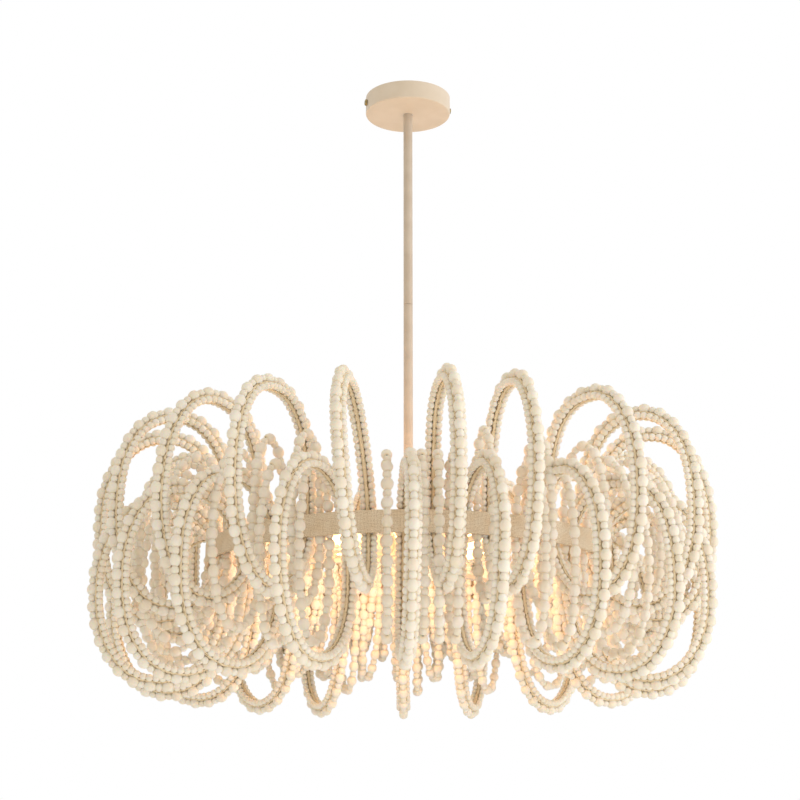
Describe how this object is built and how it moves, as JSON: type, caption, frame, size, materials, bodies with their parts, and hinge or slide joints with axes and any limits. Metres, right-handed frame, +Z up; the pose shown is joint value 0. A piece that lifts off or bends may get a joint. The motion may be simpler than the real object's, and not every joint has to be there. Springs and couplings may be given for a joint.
{
  "type": "beaded chandelier",
  "caption": "Ceiling chandelier on a straight rod: a woven band threaded with staggered tiers of upright oval hoops strung with whitewashed wooden beads around hidden candle bulbs.",
  "frame": {"origin": "centre of the mounting bracket's top face, on the rod's axis, where the bracket meets the ceiling", "axes": "+Z up, -Y towards the front that the picture shows, +X to the right seen from the front"},
  "size_m": [0.9155, 0.9078, 0.9425],
  "materials": {
    "cream_paint": "satin cream paint",
    "zinc_steel": "plain zinc plate",
    "old_brass": "aged brass",
    "washed_beads": "matte whitewashed wood beads on steel wire",
    "woven_wrap": "fine woven plant fibre",
    "cream_holder": "matte",
    "warm_glass": "clear bulb glass, lit warm"
  },
  "bodies": {
    "fixture": {"mounting_bracket": "zinc_steel", "rod_upper": "cream_paint", "rod_coupling": "zinc_steel", "rod_lower": "cream_paint", "lamp_hub": "cream_paint", "spider_arms": "cream_paint", "hub_cap": "cream_paint", "lamp_holder_1": "cream_holder", "lamp_holder_2": "cream_holder", "lamp_holder_3": "cream_holder", "lamp_holder_4": "cream_holder", "lamp_holder_5": "cream_holder", "lamp_holder_6": "cream_holder", "band_ring": "washed_beads", "band_wrap": "woven_wrap", "upper_hoop_01": "washed_beads", "upper_hoop_02": "washed_beads", "upper_hoop_03": "washed_beads", "upper_hoop_04": "washed_beads", "upper_hoop_05": "washed_beads", "upper_hoop_06": "washed_beads", "upper_hoop_07": "washed_beads", "upper_hoop_08": "washed_beads", "upper_hoop_09": "washed_beads", "upper_hoop_10": "washed_beads", "upper_hoop_11": "washed_beads", "upper_hoop_12": "washed_beads", "upper_hoop_13": "washed_beads", "upper_hoop_14": "washed_beads", "upper_hoop_15": "washed_beads", "upper_hoop_16": "washed_beads", "upper_hoop_17": "washed_beads", "upper_hoop_18": "washed_beads", "lower_hoop_01": "washed_beads", "lower_hoop_02": "washed_beads", "lower_hoop_03": "washed_beads", "lower_hoop_04": "washed_beads", "lower_hoop_05": "washed_beads", "lower_hoop_06": "washed_beads", "lower_hoop_07": "washed_beads", "lower_hoop_08": "washed_beads", "lower_hoop_09": "washed_beads", "lower_hoop_10": "washed_beads", "lower_hoop_11": "washed_beads", "lower_hoop_12": "washed_beads", "lower_hoop_13": "washed_beads", "lower_hoop_14": "washed_beads", "lower_hoop_15": "washed_beads", "lower_hoop_16": "washed_beads", "lower_hoop_17": "washed_beads", "lower_hoop_18": "washed_beads"},
    "canopy": {"canopy": "cream_paint"},
    "side_screw_right": {"side_screw_right": "old_brass"},
    "side_screw_left": {"side_screw_left": "old_brass"},
    "bulb_1": {"bulb_1": "warm_glass"},
    "bulb_2": {"bulb_2": "warm_glass"},
    "bulb_3": {"bulb_3": "warm_glass"},
    "bulb_4": {"bulb_4": "warm_glass"},
    "bulb_5": {"bulb_5": "warm_glass"},
    "bulb_6": {"bulb_6": "warm_glass"}
  },
  "joints": [
    {"name": "canopy_slide", "type": "slide", "parent": "fixture", "child": "canopy", "axis": [0, 0, -1], "range_m": [0, 0.24]},
    {"name": "side_screw_right_turn_out", "type": "slide", "parent": "canopy", "child": "side_screw_right", "axis": [0.9703, 0.2419, 0], "range_m": [0, 0.006]},
    {"name": "side_screw_left_turn_out", "type": "slide", "parent": "canopy", "child": "side_screw_left", "axis": [-0.9703, -0.2419, 0], "range_m": [0, 0.006]},
    {"name": "bulb_1_draw", "type": "slide", "parent": "fixture", "child": "bulb_1", "axis": [0.8387, -0.5446, 0], "range_m": [0, 0.022]},
    {"name": "bulb_2_draw", "type": "slide", "parent": "fixture", "child": "bulb_2", "axis": [0.891, 0.454, 0], "range_m": [0, 0.022]},
    {"name": "bulb_3_draw", "type": "slide", "parent": "fixture", "child": "bulb_3", "axis": [0.0523, 0.9986, 0], "range_m": [0, 0.022]},
    {"name": "bulb_4_draw", "type": "slide", "parent": "fixture", "child": "bulb_4", "axis": [-0.8387, 0.5446, 0], "range_m": [0, 0.022]},
    {"name": "bulb_5_draw", "type": "slide", "parent": "fixture", "child": "bulb_5", "axis": [-0.891, -0.454, 0], "range_m": [0, 0.022]},
    {"name": "bulb_6_draw", "type": "slide", "parent": "fixture", "child": "bulb_6", "axis": [-0.0523, -0.9986, 0], "range_m": [0, 0.022]}
  ]
}
